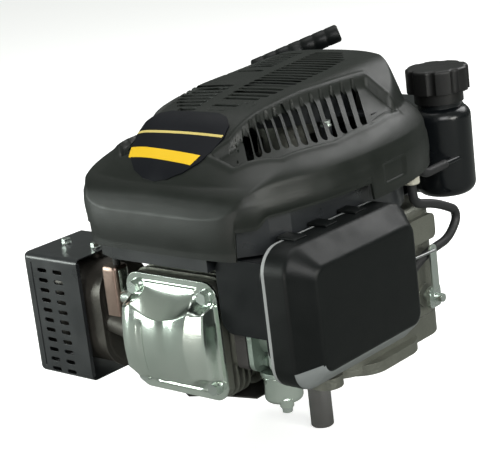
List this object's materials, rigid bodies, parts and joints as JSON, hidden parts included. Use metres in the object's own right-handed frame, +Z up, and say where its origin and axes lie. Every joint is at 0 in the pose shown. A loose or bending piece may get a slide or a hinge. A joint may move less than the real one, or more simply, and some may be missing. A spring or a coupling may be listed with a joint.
{
  "type": "small gasoline engine",
  "caption": "Vertical-shaft air-cooled overhead-valve petrol engine with recoil starter, fuel tank, muffler and air cleaner, bolted to a mower deck",
  "frame": {"origin": "where the crankshaft's axis meets the deck mounting face", "axes": "+Z up along the crankshaft away from the deck, -Y towards the valve cover, +X towards the air cleaner"},
  "size_m": [0.371, 0.394, 0.3555],
  "materials": {
    "cast_alloy": "as-cast, sand-blasted",
    "zinc_plate": "bright zinc plated",
    "steel": "machined",
    "black_plastic": "fine grained black",
    "black_steel": "satin black paint",
    "dark_steel": "heat-darkened steel",
    "grey_plastic": "mid grey",
    "ivory_plastic": "ivory",
    "black_rubber": "smooth rubber",
    "rope_fibre": "braided cord",
    "filter_paper": "pleated paper",
    "seal_fibre": "fibre sheet",
    "plug_white": "white glaze on steel",
    "badge_face": "dark face with yellow stripes"
  },
  "bodies": {
    "block": {"sump": "cast_alloy", "crankcase": "cast_alloy", "cylinder_head": "cast_alloy", "valve_cover": "zinc_plate", "gaskets": "seal_fibre", "head_bolts": "steel", "m6_flange_bolts": "zinc_plate", "m5_flange_bolts": "zinc_plate", "stud_nuts": "zinc_plate", "valve_springs": "steel", "starter_housing": "black_steel", "recoil_spring": "steel", "engine_cover": "black_plastic", "cover_badge": "badge_face", "blower_housing": "black_steel", "ignition_coil": "black_plastic", "spark_plug": "plug_white", "plug_cap": "zinc_plate", "ignition_lead": "black_rubber", "muffler": "dark_steel", "muffler_guard": "black_steel", "carburettor_insulator": "seal_fibre", "carburettor": "cast_alloy", "float_bowl": "zinc_plate", "air_cleaner_body": "black_plastic", "air_cleaner_rim": "grey_plastic", "filter_element": "filter_paper", "fuel_tank": "black_plastic", "tank_bracket": "black_steel", "fuel_filter": "ivory_plastic", "fuel_hoses": "black_rubber", "baffle": "dark_steel", "control_plate": "zinc_plate"},
    "crank": {"crankshaft": "steel", "flywheel": "cast_alloy", "cooling_fan": "black_plastic", "flywheel_nut": "zinc_plate"},
    "camshaft": {"camshaft": "steel"},
    "piston": {"piston": "cast_alloy", "piston_rings": "steel", "wrist_pin": "steel", "connecting_rod": "cast_alloy"},
    "intake_rocker": {"intake_rocker": "steel"},
    "intake_valve": {"intake_valve": "steel"},
    "intake_pushrod": {"intake_pushrod": "steel"},
    "exhaust_rocker": {"exhaust_rocker": "steel"},
    "exhaust_valve": {"exhaust_valve": "steel"},
    "exhaust_pushrod": {"exhaust_pushrod": "steel"},
    "starter_pulley": {"starter_pulley": "black_plastic"},
    "starter_grip": {"starter_rope": "rope_fibre", "starter_grip": "black_plastic"},
    "governor_arm": {"governor_arm": "zinc_plate"},
    "governor_link": {"governor_link": "steel"},
    "throttle": {"throttle_lever": "zinc_plate"},
    "choke": {"choke_lever": "zinc_plate"},
    "air_cleaner_cover": {"air_cleaner_cover": "black_plastic"},
    "fuel_cap_seal": {"fuel_cap_seal": "black_rubber"},
    "fuel_cap": {"fuel_cap": "black_plastic"},
    "oil_cap": {"oil_cap": "black_plastic"}
  },
  "joints": [
    {"name": "crank_spin", "type": "hinge", "parent": "block", "child": "crank", "pos_m": [0, 0, 0], "axis": [0, 0, 1], "continuous": true, "deforming": ["connecting_rod"]},
    {"name": "cam_spin", "type": "hinge", "parent": "block", "child": "camshaft", "pos_m": [0.041, 0.04067, 0.03], "axis": [0, 0, 1], "continuous": true},
    {"name": "piston_stroke", "type": "slide", "parent": "block", "child": "piston", "axis": [0, 1, 0], "range_m": [0, 0.051], "deforming": ["connecting_rod"]},
    {"name": "intake_rocker_turn", "type": "hinge", "parent": "block", "child": "intake_rocker", "pos_m": [0.0205, -0.186, 0.0876], "axis": [0, 0, -1], "range_deg": [0, 11], "stiffness_Nm_per_rad": 6, "springref_deg": -5.73},
    {"name": "intake_valve_lift", "type": "slide", "parent": "block", "child": "intake_valve", "axis": [0, 1, 0], "range_m": [0, 0.0041], "deforming": ["valve_springs"]},
    {"name": "intake_pushrod_lift", "type": "slide", "parent": "block", "child": "intake_pushrod", "axis": [0, -1, 0], "range_m": [0, 0.0041]},
    {"name": "exhaust_rocker_turn", "type": "hinge", "parent": "block", "child": "exhaust_rocker", "pos_m": [0.0205, -0.186, 0.0596], "axis": [0, 0, -1], "range_deg": [0, 11], "stiffness_Nm_per_rad": 6, "springref_deg": -5.73},
    {"name": "exhaust_valve_lift", "type": "slide", "parent": "block", "child": "exhaust_valve", "axis": [0, 1, 0], "range_m": [0, 0.0041], "deforming": ["valve_springs"]},
    {"name": "exhaust_pushrod_lift", "type": "slide", "parent": "block", "child": "exhaust_pushrod", "axis": [0, -1, 0], "range_m": [0, 0.0041]},
    {"name": "starter_pull", "type": "slide", "parent": "block", "child": "starter_grip", "axis": [-0.692, 0.6068, 0.3911], "range_m": [0, 0.6], "stiffness_N_per_m": 15, "springref_m": -0.6, "deforming": ["starter_rope"]},
    {"name": "pulley_turn", "type": "hinge", "parent": "block", "child": "starter_pulley", "pos_m": [0, 0, 0.241], "axis": [0, 0, 1], "range_deg": [-5, 1060]},
    {"name": "governor_turn", "type": "hinge", "parent": "block", "child": "governor_arm", "pos_m": [0.103, 0.06, 0.044], "axis": [1, 0, 0], "range_deg": [-10, 10]},
    {"name": "link_swing", "type": "hinge", "parent": "governor_arm", "child": "governor_link", "pos_m": [0.103, 0.06, 0.09], "axis": [1, 0, 0], "range_deg": [-10.5, 10.5]},
    {"name": "throttle_turn", "type": "hinge", "parent": "block", "child": "throttle", "pos_m": [0.0868, -0.148, 0.1], "axis": [0, 0, 1], "range_deg": [-24.5, 24.5]},
    {"name": "choke_turn", "type": "hinge", "parent": "block", "child": "choke", "pos_m": [0.1006, -0.17, 0.0736], "axis": [0, 1, 0], "range_deg": [0, 75]},
    {"name": "air_cover_pull", "type": "slide", "parent": "block", "child": "air_cleaner_cover", "axis": [1, 0, 0], "range_m": [0, 0.06]},
    {"name": "fuel_cap_rise", "type": "slide", "parent": "block", "child": "fuel_cap_seal", "axis": [0, 0, 1], "range_m": [0, 0.02]},
    {"name": "fuel_cap_turn", "type": "hinge", "parent": "fuel_cap_seal", "child": "fuel_cap", "pos_m": [0.066, 0.145, 0.23], "axis": [0, 0, 1], "range_deg": [0, 900]},
    {"name": "oil_cap_pull", "type": "slide", "parent": "block", "child": "oil_cap", "axis": [-0.7848, 0.3924, 0.4796], "range_m": [0, 0.09]}
  ],
  "couplings": [
    {"joint": "cam_spin", "follows": "crank_spin", "ratio": -0.5},
    {"joint": "intake_valve_lift", "follows": "intake_rocker_turn", "m_per_rad": 0.0205},
    {"joint": "intake_pushrod_lift", "follows": "intake_rocker_turn", "m_per_rad": 0.0205},
    {"joint": "exhaust_valve_lift", "follows": "exhaust_rocker_turn", "m_per_rad": 0.0205},
    {"joint": "exhaust_pushrod_lift", "follows": "exhaust_rocker_turn", "m_per_rad": 0.0205},
    {"joint": "pulley_turn", "follows": "starter_pull", "rad_per_m": 30.303},
    {"joint": "link_swing", "follows": "governor_turn", "ratio": -1},
    {"joint": "throttle_turn", "follows": "governor_turn", "ratio": -2.4},
    {"joint": "fuel_cap_turn", "follows": "fuel_cap_rise", "rad_per_m": 785.4}
  ]
}
